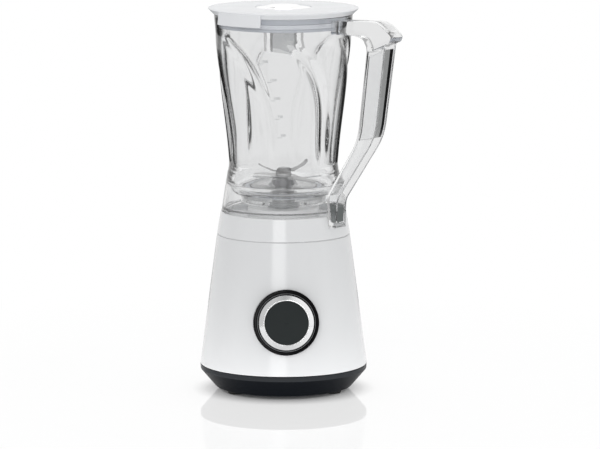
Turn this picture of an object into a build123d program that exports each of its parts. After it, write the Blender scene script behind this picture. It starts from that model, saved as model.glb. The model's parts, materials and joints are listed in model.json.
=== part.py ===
from build123d import *
from math import atan, cos, degrees, radians, sin, tan
import os

os.makedirs("parts", exist_ok=True)

# Sizes are in millimetres and degrees. +Z is up, the knob faces -Y, the axis of the motor is Z.

# Housing
wall = 2.8
shell_low = 27.5
shell_height = 135.5
shell_high = shell_low + shell_height
shell_low_radius = 86.5
shell_high_radius = 68.8
shell_slope = (shell_low_radius - shell_high_radius) / shell_height
seam_gap = 0.5
seat_gap = 0.3
collar_height = 24.0
collar_high = shell_high + collar_height
collar_step = 0.76
collar_top_radius = shell_high_radius - shell_slope * collar_height - collar_step
collar_wall = 3.7
recess_radius = collar_top_radius - collar_wall
deck_drop = 6.4
deck_high = collar_high - deck_drop
deck_thickness = 3.2
plug_depth = 7.0
plug_low = shell_high - plug_depth
plug_gap = 1.0
plug_radius = shell_high_radius - wall - plug_gap
plate_low = 4.0
plate_floor = 3.0
plate_draft = 16.0
plate_floor_radius = shell_low_radius - plate_draft
foot_radius = 8.0
foot_inset = 12.5
foot_circle = plate_floor_radius - foot_inset
post_inset = 24.5
post_circle = shell_low_radius - post_inset
post_radius = 4.5
post_rise = 26.5
vent_count = 16
vent_in = 18.0
vent_width = 4.0

# Control knob
knob_height = 82.6
bezel_radius = 33.6
bezel_inside = 30.4
bezel_front = 4.0
bezel_back = -14.5
bezel_floor = 2.6
knob_radius = 29.9
ring_outside = 28.1
ring_inside = 22.6
switch_shaft_radius = 3.0
switch_width = 26.0
switch_depth = 13.5
running_gap = 0.05

# Motor, hung from the deck
shaft_radius = 4.0
motor_drop = 34.6
top_bracket_low = deck_high - motor_drop
winding_room = 24.0
stack_high = top_bracket_low - winding_room
stack_length = 44.0
stack_low = stack_high - stack_length
brush_room = 36.0
low_bracket_low = stack_low - brush_room
stator_x = 84.0
stator_y = 76.0
stator_bore = 23.0
stator_yoke = 7.0
armature_radius = 22.3
coil_depth = 10.0
mount_x = 30.0
mount_y = 28.0
bolt_x = 38.5
bracket_thickness = 4.0
mount_height = 8.0
slot_count = 12
fan_radius = 38.0
fan_height = 11.0
fan_blades = 11

# Jug
handle_turn = -40.0
jug_wall = 3.0
floor_rise = 21.5
floor_high = collar_high + floor_rise
floor_thickness = 3.0
floor_low = floor_high - floor_thickness
floor_hole = 36.0
jug_depth = 183.5
jug_high = floor_high + jug_depth
jug_high_radius = 71.7
rim_height = 21.0
rim_draft = 1.8
ribs_high = jug_high - rim_height
ribs_high_radius = jug_high_radius - rim_draft
jug_low_radius = 56.2
swell_low = floor_high + 13.5
swirl_low = floor_high + 35.5
rib_count = 6
rib_depth = 4.6
rib_half = 7.0
rib_spread = 2.0
rib_fade = 30.0
rib_sweep = 44.4
rib_first = -105.6 - handle_turn
rib_levels = [1.0, 0.8, 0.62, 0.46, 0.32, 0.2, 0.1, 0.0]
waist_rise = 47.0
waist_high = collar_high + waist_rise
waist_step = 1.0
waist_radius = jug_low_radius + waist_step
skirt_low = collar_high + seat_gap
skirt_step = 0.7
skirt_radius = collar_top_radius - skirt_step
skirt_lean = (skirt_radius - waist_radius) / (waist_rise - 3.0)
lock_wall = 2.6
spout_inset = 9.7
spout_radius = 15.0

# Handle, as (distance from the axis, height): the grip goes with the rim, the foot with the collar
arm_root = jug_high_radius - 9.7
arm_top = (arm_root, jug_high - 3.0)
arm_crown = (jug_high_radius + 55.3, jug_high - 0.8)
thumb_tip = (jug_high_radius + 74.3, jug_high - 15.0)
thumb_low = (jug_high_radius + 71.8, jug_high - 20.5)
grip_out_top = (jug_high_radius + 65.8, jug_high - 20.5)
grip_out_low = (jug_high_radius + 52.6, jug_high - 118.3)
run_out_low = (skirt_radius + 11.4, collar_high + 17.2)
foot_out = (skirt_radius + 10.4, collar_high - 11.0)
foot_in = (skirt_radius, collar_high - 11.0)
foot_top = (skirt_radius, skirt_low + 0.5)
run_in_rise = 21.0
run_in_low = (skirt_radius - skirt_lean * run_in_rise - 0.8, collar_high + run_in_rise)
grip_in_low = (jug_high_radius + 29.8, jug_high - 123.5)
grip_in_top = (jug_high_radius + 44.5, jug_high - 17.0)
arm_low = (arm_root, jug_high - 17.0)
handle_half_top = 10.4
handle_half_low = 8.6
handle_side = 2.6
handle_web = 4.0
channel_high = jug_high - 23.5
cover_thickness = 3.0
cover_gap = 0.3
notch_gap = 0.7

# Dog coupling
dog_count = 6
dog_outside = 12.2
dog_root = 8.6
dog_width = 4.6
dog_gap = 0.4
dog_lift = 2.0
dog_length = 9.8
dog_low = deck_high + dog_lift
dog_high = dog_low + dog_length
cup_coupling_radius = 15.8
socket_radius = 38.0
socket_bore = 18.6
socket_height = 10.4
socket_high = deck_high + socket_height

# Blade unit
seal_thickness = 1.5
carrier_rim = 5.0
carrier_radius = floor_hole + carrier_rim
carrier_thickness = 3.3
carrier_high = floor_low - seal_thickness
carrier_low = carrier_high - carrier_thickness
carrier_gap = 0.4
bush_radius = 8.0
neck_radius = 11.5
neck_high = floor_high + 7.5
tube_low = carrier_low - 4.1
lock_height = 3.6
blade_thickness = 1.6
blade_step = 2.8
blade_stack = neck_high + 2.0
blade_width = 15.0
spindle_gap = 0.8
spindle_low = dog_high + spindle_gap
spindle_high = blade_stack + 11.0

# Lid and measuring cup
lid_overhang = 6.5
lid_radius = jug_high_radius + lid_overhang
lid_thickness = 6.6
lid_high = jug_high + lid_thickness
lid_under = jug_high + seat_gap
lid_skirt_gap = 2.2
lid_skirt_radius = jug_high_radius - jug_wall - lid_skirt_gap
lid_skirt_depth = 13.5
lid_skirt_low = jug_high - lid_skirt_depth
lid_skirt_wall = 2.3
groove_depth = 1.2
groove_low = lid_skirt_low + 3.0
groove_high = groove_low + 5.0
seal_radius = lid_skirt_radius + 1.0
tab_arc = 41.0
tab_low = lid_high - 14.6
cup_radius = 20.9
cup_wall = 2.0
cap_rim = 7.9
cap_recess = cup_radius + cap_rim
cap_depth = 3.0
cap_floor = lid_high - cap_depth
cup_depth = 42.6
cup_low = cap_floor - cup_depth
cup_high = lid_high + 1.4


def turned(points, radii=0):
    """Solid turned about Z from a closed outline of (radius, height) points."""
    outline = FilletPolyline(*points, radius=radii, close=True)
    return revolve(Plane.XZ * make_face(outline), Axis.Z)


def ring(outside, inside, low, high):
    """Plain ring about Z."""
    return turned([(inside, low), (outside, low), (outside, high), (inside, high)])


def rod(radius, low, high, x=0, y=0):
    """Upright round bar."""
    return Pos(x, y, (low + high) / 2) * Cylinder(radius, high - low)


def block(x0, x1, y0, y1, z0, z1):
    """Box between two corners."""
    return Pos((x0 + x1) / 2, (y0 + y1) / 2, (z0 + z1) / 2) * Box(x1 - x0, y1 - y0, z1 - z0)


def around(count, start=0.0):
    """Turns about Z that share a circle evenly."""
    return [Rot(0, 0, start + 360.0 * index / count) for index in range(count)]


def slab(points, radii, half):
    """Closed (x, z) outline made half as deep on each side of the XZ plane."""
    outline = FilletPolyline(*points, radius=radii, close=True)
    return extrude(Plane.XZ * make_face(outline), amount=half, both=True)


def shell_radius(height):
    """Outside radius of the white cone."""
    return shell_low_radius - shell_slope * (height - shell_low)


def save(shape, name):
    export_step(shape, f"parts/{name}.step")


# Frame of the knob: its axis is square to the sloping front of the shell
knob_lean = degrees(atan(shell_slope))
knob_axis = (0, -cos(radians(knob_lean)), sin(radians(knob_lean)))
knob_plane = Plane(origin=(0, -shell_radius(knob_height), knob_height), x_dir=(1, 0, 0), z_dir=knob_axis)
jug_turn = Rot(0, 0, handle_turn)
post_turns = [Rot(0, 0, angle) for angle in (-60, 60, 120, -120)]
foot_turns = [Rot(0, 0, angle) for angle in (-30, 30, 150, -150)]
mount_points = [(x, y) for x in (-mount_x, mount_x) for y in (-mount_y, mount_y)]
bolt_points = [(-bolt_x, 0), (bolt_x, 0)]
plate_top = shell_low - seat_gap
post_low = plate_low + plate_floor + 3.0
post_high = shell_low + post_rise
seat_high = post_low + seat_gap
collar_low = shell_high + seam_gap
deck_low = deck_high - deck_thickness
top_bracket_high = top_bracket_low + bracket_thickness
low_bracket_high = low_bracket_low + bracket_thickness
post_bottom = top_bracket_high + mount_height

# Base shell: a cone with a ledge for the collar and four ribbed screw posts
ledge_high = plug_low - seat_gap
ledge_radius = plug_radius - wall - 1.0
shell = turned([
    (shell_low_radius, shell_low),
    (shell_high_radius, shell_high),
    (shell_high_radius - wall, shell_high),
    (shell_radius(ledge_high) - wall, ledge_high),
    (ledge_radius, ledge_high),
    (ledge_radius, ledge_high - 2.5),
    (shell_radius(ledge_high - 7.5) - wall, ledge_high - 7.5),
    (shell_low_radius - wall, shell_low),
], [0.8, 0.6, 0, 0, 0, 0, 0, 0])
cone_inside = turned([
    (0, shell_low),
    (shell_low_radius - wall / 2, shell_low),
    (shell_high_radius - wall / 2, shell_high),
    (0, shell_high),
])
rib = block(post_circle, shell_low_radius, -1.5, 1.5, shell_low + 8, post_high) & cone_inside
post = rod(post_radius, seat_high, post_high, post_circle) + rib
post = post - rod(1.7, seat_high, seat_high + 16, post_circle)
for turn in post_turns:
    shell = shell + turn * post
knob_hole = knob_plane * rod(bezel_radius + 0.2, -25, 25)
shell = shell - knob_hole
save(shell, "base_shell")

# Collar: outer wall, deck, posts that carry the motor and the notch for the foot of the handle
deck_hole = shaft_radius + 5.2
collar = turned([
    (shell_radius(collar_low), collar_low),
    (collar_top_radius, collar_high),
    (recess_radius, collar_high),
    (recess_radius, deck_high),
    (deck_hole, deck_high),
    (deck_hole, deck_low),
    (recess_radius - 3, deck_low),
    (plug_radius - wall, deck_low - 5),
    (plug_radius - wall, plug_low),
    (plug_radius, plug_low),
    (plug_radius, collar_low),
], [0.6, 1.2, 0.8, 0.8, 0, 0, 0, 0, 0, 0, 0])
for x, y in mount_points:
    collar = collar + rod(5, post_bottom, deck_low + 0.5, x, y)
    collar = collar - rod(1.7, post_bottom, deck_low - 4, x, y)
notch_half = handle_half_low + notch_gap
notch_in = foot_in[0] - notch_gap
notch = block(notch_in, foot_out[0] + 15, -notch_half, notch_half, foot_in[1] - notch_gap, skirt_low + 9)
collar = collar - jug_turn * notch
save(collar, "top_collar")

# Socket on the deck round the drive coupling
socket = turned([
    (socket_bore, deck_high),
    (socket_radius, deck_high),
    (socket_radius - 1.5, socket_high),
    (socket_bore, socket_high),
], [0, 0, 1.5, 1.0])
save(socket, "drive_socket")

# Bottom plate: a tray with a rim, air slots, screw seats and a flat for the cord inlet
tray_outside = [
    (plate_floor_radius, plate_low),
    (shell_low_radius - 6.5, plate_low + 11.0),
    (shell_low_radius - 0.3, plate_top - 4.9),
    (shell_low_radius, plate_top),
]
lip_radius = shell_low_radius - wall - 1.0
tray = turned([
    (0, plate_low),
    *tray_outside,
    (lip_radius, plate_top),
    (lip_radius, plate_top + 5),
    (lip_radius - 2.2, plate_top + 5),
    (lip_radius - 2.2, plate_top - 2.7),
    (shell_low_radius - 9.2, plate_low + 13.2),
    (plate_floor_radius - 1.6, plate_low + plate_floor),
    (0, plate_low + plate_floor),
], [0, 2, 8, 2, 0.8, 0, 0, 0, 2, 6, 2, 0])
tray_solid = turned([(0, plate_low), *tray_outside, (0, plate_top)], [0, 2, 8, 2, 0, 0])
inlet_height = plate_low + 12.4
inlet_face = shell_low_radius - 12.0
inlet_out = shell_low_radius + 5.0
inlet_block = block(-12, 12, inlet_face - 3, inlet_out, plate_low, plate_top - 0.7) & tray_solid
tray = tray + inlet_block
tray = tray - block(-9.5, 9.5, inlet_face, inlet_out, inlet_height - 8.6, inlet_height + 8.6)
inlet_hole = Pos(0, inlet_face, inlet_height) * Rot(90, 0, 0) * Cylinder(5.2, 30)
tray = tray - inlet_hole
vent_out = foot_circle - foot_radius - 8.0
slot = block(vent_in, vent_out, -vent_width / 2, vent_width / 2, 0, plate_low + 6)
for turn in around(vent_count):
    tray = tray - turn * slot
for turn in post_turns:
    tray = tray + turn * rod(7, plate_low + plate_floor - 0.5, post_low, post_circle)
    tray = tray - turn * rod(4.6, plate_low - 1, plate_low + plate_floor + 0.4, post_circle)
    tray = tray - turn * rod(2.0, plate_low, post_low + 1, post_circle)
for turn in foot_turns:
    tray = tray - turn * rod(foot_radius - 1.8, plate_low - 1, plate_low + 1.2, foot_circle)
save(tray, "bottom_plate")

foot = turned([
    (0, 0),
    (foot_radius, 0),
    (foot_radius + 0.8, plate_low),
    (foot_radius - 2, plate_low),
    (foot_radius - 2, plate_low + 1.2),
    (0, plate_low + 1.2),
], [0, 1.0, 0, 0, 0, 0])
save(Compound([turn * Pos(foot_circle, 0, 0) * foot for turn in foot_turns]), "rubber_feet")

screw = rod(4.2, plate_low + 1.0, plate_low + plate_floor + 0.4) + rod(1.65, plate_low + 3, seat_high + 15)
screw = screw - block(-3, 3, -0.5, 0.5, plate_low, plate_low + 1.9)
save(Compound([turn * Pos(post_circle, 0, 0) * screw for turn in post_turns]), "plate_screws")

gland = ring(5.0, 3.4, -3.4, 8) + ring(8.0, 3.4, -2.2, -0.1) + ring(5.8, 3.4, 3.2, 4.6)
save(Pos(0, inlet_face, inlet_height) * Rot(90, 0, 0) * gland, "cord_gland")

# Knob, its fixed bezel and the switch behind it, all turned about the knob axis
bezel = turned([
    (4.7, bezel_back),
    (bezel_radius, bezel_back),
    (bezel_radius, bezel_front),
    (bezel_inside, bezel_front),
    (bezel_inside, bezel_back + bezel_floor),
    (4.7, bezel_back + bezel_floor),
], [0, 0, 1.4, 0.5, 0, 0])
bezel = bezel - block(-0.6, 0.6, bezel_inside + 0.9, bezel_radius - 0.8, bezel_front - 0.5, bezel_front + 1)
save(knob_plane * bezel, "knob_bezel")

knob_body = turned([
    (8, -7.5),
    (8, 3.0),
    (27.4, 1.6),
    (27.4, -8.5),
    (knob_radius, -8.5),
    (knob_radius, 5.4),
    (ring_outside + 0.1, 5.4),
    (ring_outside + 0.1, 4.4),
    (ring_inside - 0.4, 7.6),
    (0, 7.6),
    (0, 5.0),
    (switch_shaft_radius, 5.0),
    (switch_shaft_radius, -7.5),
], [0, 0, 1, 0, 0, 1.0, 0, 0, 0, 0, 0, 0, 0])
save(knob_plane * knob_body, "knob_body")

knob_ring = turned([
    (ring_outside, 4.5),
    (ring_outside, 6.4),
    (ring_inside + 0.7, 10.0),
    (ring_inside, 9.4),
    (ring_inside, 7.9),
], [0, 0.6, 0.3, 0, 0])
save(knob_plane * knob_ring, "knob_ring")

knob_face = turned([
    (0, 7.6),
    (ring_inside - 0.4, 7.6),
    (ring_inside - 0.1, 9.0),
    (ring_inside - 1.2, 9.2),
    (0, 8.8),
], [0, 0, 0.3, 0, 0])
save(knob_plane * knob_face, "knob_face")

switch_shaft = rod(switch_shaft_radius, bezel_back - switch_depth + 2.0, 5.0)
save(knob_plane * switch_shaft, "switch_shaft")

switch_low = bezel_back - switch_depth
switch_half = switch_width / 2
switch = block(-switch_half, switch_half, -switch_half, switch_half, switch_low, bezel_back)
switch = switch + rod(4.5, bezel_back - 1, bezel_back + 5.4)
switch = switch - rod(switch_shaft_radius + running_gap, switch_low + 1.5, 0)
for x in (-7.5, 7.5):
    switch = switch + block(x - 1.5, x + 1.5, -switch_half - 4, -switch_half, switch_low + 6, switch_low + 8)
save(knob_plane * switch, "rotary_switch")

nut_low = bezel_back + bezel_floor
switch_nut = extrude(RegularPolygon(7.4, 6), amount=2.3) - rod(4.5, -1, 4)
save(knob_plane * Pos(0, 0, nut_low) * switch_nut, "switch_nut")

board = block(-30, 30, -22, 22, switch_low - 1.6, switch_low)
board = board + block(-27, -16, -12, 12, switch_low, switch_low + 11)
board = board + block(17, 27, 0, 14, switch_low, switch_low + 9)
board = board + rod(4.5, switch_low, switch_low + 12, 22, -10)
save(knob_plane * board, "control_board")

# Motor: laminated stator, two field coils and the brackets bolted through it
yoke_x = stator_x / 2 - stator_yoke
stator = extrude(RectangleRounded(stator_x, stator_y, 9), amount=stack_high - stack_low)
stator = Pos(0, 0, stack_low) * stator - rod(stator_bore, stack_low - 1, stack_high + 1)
window_low = stator_bore - 3.0
window_high = window_low + coil_depth + 2.0
for side_x in (-1, 1):
    for side_y in (-1, 1):
        xs = sorted((side_x * (stator_bore - 0.5), side_x * yoke_x))
        ys = sorted((side_y * window_low, side_y * window_high))
        stator = stator - block(*xs, *ys, stack_low - 1, stack_high + 1)
stator = stator - block(-12, 12, -stator_bore - 8, stator_bore + 8, stack_low - 1, stack_high + 1)
for x, y in bolt_points:
    stator = stator - rod(2.2, stack_low - 1, stack_high + 1, x, y)
save(stator, "stator_core")

coil_middle = (stack_low + stack_high) / 2
coil_span = window_low + coil_depth + 1.0
coil_inside = stack_high - stack_low + 0.6
coil_loop = RectangleRounded(2 * coil_span, coil_inside + 2 * coil_depth, 8)
coil_loop = coil_loop - RectangleRounded(2 * window_low + 2.0, coil_inside, 2)
coil = extrude(Plane.YZ * coil_loop, amount=coil_depth)
coil_x = stator_bore + 1.0
coils = [Pos(x, 0, coil_middle) * coil for x in (coil_x, -coil_x - coil_depth)]
save(Compound(coils), "field_coils")


def bracket(low, leg_low, leg_high, arm_y, bearing):
    """Motor end bracket: a plate with a bearing hub and two legs that meet the stator."""
    plate = extrude(RectangleRounded(stator_x, 2 * arm_y, 6), amount=bracket_thickness)
    body = Pos(0, 0, low) * plate + rod(bearing + 4, low - 2, low + bracket_thickness + 2)
    for side in (-1, 1):
        xs = sorted((side * yoke_x, side * stator_x / 2))
        body = body + block(*xs, -12, 12, leg_low, leg_high)
        body = body - block(-26, 26, *sorted((side * 14, side * (arm_y - 7))), low - 1, low + 5)
    for x, y in bolt_points:
        body = body - rod(2.2, low - 3, leg_high + 1, x, y) - rod(2.2, leg_low - 1, low + 6, x, y)
    return body - rod(bearing, low - 3, low + bracket_thickness + 3)


top_bearing_radius = 11.0
low_bearing_radius = 8.0
top_bracket = bracket(top_bracket_low, stack_high, top_bracket_low + 1, mount_y + 6, top_bearing_radius)
for x, y in mount_points:
    top_bracket = top_bracket - rod(2.2, top_bracket_low - 1, top_bracket_high + 1, x, y)
save(top_bracket, "top_bracket")
low_bracket = bracket(low_bracket_low, low_bracket_high - 1, stack_low, 33.0, low_bearing_radius)
save(low_bracket, "low_bracket")

bearing_gap = shaft_radius + running_gap
top_bearing = ring(top_bearing_radius, bearing_gap, top_bracket_low - 2, top_bracket_high + 2)
save(top_bearing, "top_bearing")
low_bearing = ring(low_bearing_radius, bearing_gap, low_bracket_low - 2, low_bracket_high + 2)
save(low_bearing, "low_bearing")

bolts = []
for x, y in bolt_points:
    bolt = rod(2.0, low_bracket_low - 1, top_bracket_high + 3, x, y)
    head = Pos(x, y, low_bracket_low - 3.2) * extrude(RegularPolygon(4.0, 6), amount=3.2)
    nut = Pos(x, y, top_bracket_high) * extrude(RegularPolygon(4.0, 6), amount=3.0)
    bolts.append(bolt + head + nut)
save(Compound(bolts), "motor_bolts")

damper = turned([
    (1.9, top_bracket_high),
    (7.0, top_bracket_high),
    (5.6, top_bracket_high + mount_height / 2),
    (7.0, post_bottom),
    (1.9, post_bottom),
], [0, 1, 3, 1, 0])
save(Compound([Pos(x, y, 0) * damper for x, y in mount_points]), "motor_dampers")

hanger = rod(1.65, top_bracket_low - 1, post_bottom + 9) + rod(3.8, top_bracket_low - 2.6, top_bracket_low)
save(Compound([Pos(x, y, 0) * hanger for x, y in mount_points]), "motor_screws")

# Brush gear on the lower bracket
commutator_radius = 11.0
commutator_low = low_bracket_low + 10.0
commutator_high = commutator_low + 14.0
brush_low = commutator_low + 2.5
brush_reach = commutator_radius + 0.3
holder = block(-5, 5, 15, 30, low_bracket_high, brush_low + 9.5)
holder = holder - block(-3.6, 3.6, 10, 28.5, brush_low - 0.2, brush_low + 7.7)
save(Compound([turn * holder for turn in around(2)]), "brush_holders")
brush = block(-3.4, 3.4, brush_reach, 22, brush_low, brush_low + 7.5)
brush = brush - rod(brush_reach, commutator_low, commutator_high)
brush = brush + block(-1.6, 1.6, 22, 28.3, brush_low + 2, brush_low + 5.2)
save(Compound([turn * brush for turn in around(2)]), "carbon_brushes")

# Rotor: everything that turns with the motor shaft
fan_low = low_bracket_low - 16.0
fan_high = fan_low + fan_height
shaft_low = fan_low - 2.0
shaft_high = dog_high - 2.0
save(rod(shaft_radius, shaft_low, shaft_high), "motor_shaft")

core = rod(armature_radius, stack_low + 0.5, stack_high - 0.5)
core_slot = block(13.5, 19.5, -1.9, 1.9, stack_low, stack_high)
core_slot = core_slot + block(19, armature_radius + 5, -1.0, 1.0, stack_low, stack_high)
for turn in around(slot_count):
    core = core - turn * core_slot
core = core - rod(shaft_radius, stack_low, stack_high)
save(core, "armature_core")

end_turns = []
for low in (stack_low - 8.7, stack_high - 0.5):
    end_turns.append(turned([
        (7.5, low),
        (20.0, low),
        (20.0, low + 9.2),
        (7.5, low + 9.2),
    ], [2, 4, 4, 2]))
bar = block(14.0, 19.0, -1.6, 1.6, stack_low - 1, stack_high + 1)
winding = end_turns[0] + end_turns[1]
for turn in around(slot_count):
    winding = winding + turn * bar
save(winding, "armature_winding")

commutator = ring(commutator_radius, shaft_radius, commutator_low, commutator_high)
for turn in around(slot_count, 180.0 / slot_count):
    commutator = commutator - turn * block(9.8, 14, -0.3, 0.3, commutator_low, commutator_high)
save(commutator, "commutator")

fan = ring(fan_radius, shaft_radius, fan_high - 1.6, fan_high) + ring(9.0, shaft_radius, fan_low, fan_high)
fan_blade = Pos(fan_radius - 15, 0, (fan_low + fan_high) / 2) * Rot(0, 0, 18) * Box(26, 1.6, fan_height)
for turn in around(fan_blades):
    fan = fan + turn * fan_blade
save(fan, "cooling_fan")


def dog_outline(grow):
    """Six-toothed coupling outline, grown all round by the stated gap."""
    outline = Circle(dog_root + grow)
    tooth = Rectangle(2 * (dog_outside + grow), dog_width + 2 * grow)
    for index in range(dog_count // 2):
        outline = outline + Rot(0, 0, 180.0 * index / (dog_count // 2)) * tooth
    return outline


drive = Pos(0, 0, dog_low) * extrude(dog_outline(0), amount=dog_length)
drive = drive & turned([
    (0, dog_low),
    (dog_outside + 2, dog_low),
    (dog_outside + 2, dog_high - 2),
    (dog_outside - 1.7, dog_high),
    (0, dog_high),
])
drive = drive - rod(shaft_radius, dog_low - 1, shaft_high)
save(drive, "drive_coupling")

seal_bore = shaft_radius + 0.3
shaft_seal = ring(deck_hole, seal_bore, deck_low, deck_high)
shaft_seal = shaft_seal + ring(deck_hole + 2.8, seal_bore, deck_high, deck_high + 1.4)
save(shaft_seal, "shaft_seal")

# Jug: a wall that swells as it rises, pressed in at six ribs that swirl round it


def jug_radius(height):
    """Outside radius of the jug between its ribs."""
    share = min(1.0, max(0.0, (height - swell_low) / (ribs_high - swell_low)))
    return jug_low_radius + (ribs_high_radius - jug_low_radius) * share ** 2 * (3 - 2 * share)


def level_arcs(height, inset):
    """One level of the ribbed wall, moved in by the inset: a plain arc and a rib arc by turns."""
    swing = max(0.0, (height - swirl_low) / (ribs_high - swirl_low))
    fade = min(1.0, (ribs_high - height) / rib_fade)
    crest = jug_radius(height) - inset
    valley = crest - rib_depth * fade * (2.0 - fade)
    half = rib_half + (rib_spread if inset else 0.0)
    step = 360.0 / rib_count
    arcs = []
    for index in range(rib_count):
        rib = rib_first - rib_sweep * swing ** 3 + step * index
        for middle, reach, depth in ((rib, half, valley), (rib + step / 2, step / 2 - half, crest)):
            angles = [radians(middle + part * reach) for part in (-1, 0, 1)]
            ends = [(r * cos(a), r * sin(a), height) for r, a in zip((crest, depth, crest), angles)]
            arcs.append(Edge.make_three_point_arc(*ends))
    return arcs


def ribbed(inset, low):
    """Ribbed body up to the plain upper wall, ruled from each level to the next."""
    levels = [low] + [ribs_high - (ribs_high - swirl_low) * part for part in rib_levels]
    rows = [level_arcs(level, inset) for level in levels]
    faces = [Face(Wire(rows[0])), Face(Wire(rows[-1]))]
    for lower, upper in zip(rows, rows[1:]):
        faces += [Face.make_surface_from_curves(first, second) for first, second in zip(lower, upper)]
    return Solid(Shell(faces))


def jug_solid(inset, low, high):
    """Whole vessel as one solid, its wall moved in by the inset."""
    upper = turned([
        (0, ribs_high),
        (ribs_high_radius - inset, ribs_high),
        (jug_high_radius - inset, high),
        (0, high),
    ])
    spout_centre = jug_high_radius - spout_inset
    root = Pos(-spout_centre, 0, ribs_high + 2) * Circle(ribs_high_radius - spout_centre - inset)
    spout = loft([root, Pos(-spout_centre, 0, high) * Circle(spout_radius - inset)])
    return upper + spout + ribbed(inset, low)


handle_points = [
    arm_top, arm_crown, thumb_tip, thumb_low, grip_out_top, grip_out_low, run_out_low,
    foot_out, foot_in, foot_top, run_in_low, grip_in_low, grip_in_top, arm_low,
]
handle_radii = [0, 14, 4, 1.5, 1, 20, 6, 3, 3, 0, 4, 20, 14, 0]
width_high = jug_high + 3.0
width_low = grip_in_low[1] + 1.5
width_points = [
    (-handle_half_top, width_high), (handle_half_top, width_high), (handle_half_low, width_low),
    (handle_half_low, foot_in[1] - 6), (-handle_half_low, foot_in[1] - 6), (-handle_half_low, width_low),
]


def handle_width(inset):
    """Bar as wide as the handle, seen along its reach, moved in by the inset."""
    points = [(x - inset if x > 0 else x + inset, z) for x, z in width_points]
    return extrude(Plane.YZ * make_face(Polyline(*points, close=True)), amount=thumb_tip[0] + 20)


handle = slab(handle_points, handle_radii, 20) & handle_width(0)
channel_out = thumb_tip[0] + 24.0
channel_points = [
    (grip_in_top[0] + handle_web - 1, channel_high),
    (grip_in_low[0] + handle_web, grip_in_low[1]),
    (run_in_low[0] + handle_web, run_in_low[1]),
    (foot_in[0] + handle_web, foot_in[1] + handle_web),
    (foot_out[0] + 25, foot_in[1] + handle_web),
    (channel_out, grip_in_low[1] - 8.5),
    (channel_out, channel_high),
]
channel = slab(channel_points, [3, 16, 4, 3, 0, 0, 0], 20) & handle_width(handle_side)
handle = handle - channel

spigot_out = recess_radius - 0.6
spigot_in = spigot_out - 2.8
spigot_low = deck_high + 1.0
skirt = turned([
    (skirt_radius, skirt_low),
    (waist_radius, waist_high - 3),
    (jug_low_radius - 7.0, waist_high + 8),
    (jug_low_radius - 7.0, waist_high - 3),
    (waist_radius - jug_wall, waist_high - 8),
    (spigot_in, skirt_low + 2),
    (spigot_in, spigot_low),
    (spigot_out, spigot_low),
    (spigot_out, skirt_low),
], [0.8, 4, 0, 0, 3, 0, 0, 0.6, 0])
skirt_inside = turned([(0, spigot_low), (spigot_in, spigot_low), (spigot_in, skirt_low), (0, floor_low)])
jug = jug_solid(0, floor_low, jug_high) + skirt
jug = jug + (handle - skirt_inside)
jug = jug - jug_solid(jug_wall, floor_high, jug_high + 1.0)
jug = jug - rod(floor_hole, floor_low - 1, floor_high + 1)
lock_inside = carrier_radius + carrier_gap
jug = jug + ring(lock_inside + lock_wall, lock_inside, tube_low - 1, floor_low)
save(jug_turn * jug, "jug")

# Cover strip that closes the grip of the handle
grip_lean = (grip_out_top[0] - grip_out_low[0]) / (grip_out_top[1] - grip_out_low[1])


def grip_out(height, inset=0.0):
    return (grip_out_low[0] + grip_lean * (height - grip_out_low[1]) - inset, height)


cover_low = grip_out_low[1] + 4.3
cover_high = channel_high - 0.7
cover_points = [
    grip_out(cover_low),
    grip_out(cover_high),
    grip_out(cover_high, cover_thickness),
    grip_out(cover_low, cover_thickness),
]
cover = slab(cover_points, [1.5, 1.5, 0, 0], 20) & handle_width(handle_side + cover_gap)
for height in (cover_low + 6.0, cover_high - 5.8):
    x, z = grip_out(height, cover_thickness)
    cover = cover + block(x - 8.0, x + 1.0, -3.0, 3.0, z - 1.2, z + 1.2)
save(jug_turn * cover, "handle_cover")

# Blade carrier under the jug floor, with its seal, lock ring and bush
carrier = turned([
    (bush_radius, tube_low),
    (neck_radius, tube_low),
    (neck_radius, carrier_low - 1),
    (carrier_radius, carrier_low),
    (carrier_radius, carrier_high),
    (floor_hole - carrier_gap, carrier_high),
    (floor_hole - carrier_gap, floor_high + carrier_gap),
    (neck_radius + 3, floor_high + 2.0),
    (neck_radius, neck_high),
    (bush_radius, neck_high),
], [0, 0, 2, 0, 0, 0, 1, 4, 2, 0])
save(carrier, "blade_carrier")
save(ring(carrier_radius - 0.3, floor_hole + carrier_gap, carrier_high, floor_low), "jug_seal")

lock_low = carrier_low - lock_height
lock = ring(carrier_radius, floor_hole - 3.0, lock_low, carrier_low)
for turn in around(6):
    lock = lock - turn * block(floor_hole - 4.0, floor_hole + 1.5, -3, 3, lock_low - 0.5, lock_low + 2.2)
lock = lock - turned([
    (neck_radius, carrier_low - 1),
    (carrier_radius, carrier_low),
    (carrier_radius, carrier_high),
    (0, carrier_high),
])
save(lock, "lock_ring")

bush_low = tube_low
bush_high = neck_high + 0.8
bush = ring(bush_radius, shaft_radius + running_gap, bush_low, bush_high)
save(bush, "spindle_bush")

# Blade unit: spindle, three two-armed blades, spacers, cap nut and the driven coupling
save(rod(shaft_radius, spindle_low, spindle_high), "blade_spindle")


def blade(low, reach, rise, width):
    """Two-armed blade: a bent strip cut to a swept point at each end."""
    side = [
        (9, low), (reach, low + rise), (reach, low + rise + blade_thickness), (9, low + blade_thickness),
        (-9, low + blade_thickness), (-reach, low + rise + blade_thickness), (-reach, low + rise), (-9, low),
    ]
    half = width / 2
    plan = [
        (9, -half), (reach, half * 0.15), (reach, half * 0.7), (9, half),
        (-9, half), (-reach, -half * 0.15), (-reach, -half * 0.7), (-9, -half),
    ]
    strip = slab(side, 0, width)
    outline = make_face(FilletPolyline(*plan, radius=1.0, close=True))
    return (strip & extrude(outline, amount=jug_high)) - rod(shaft_radius, spindle_low, jug_high)


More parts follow.
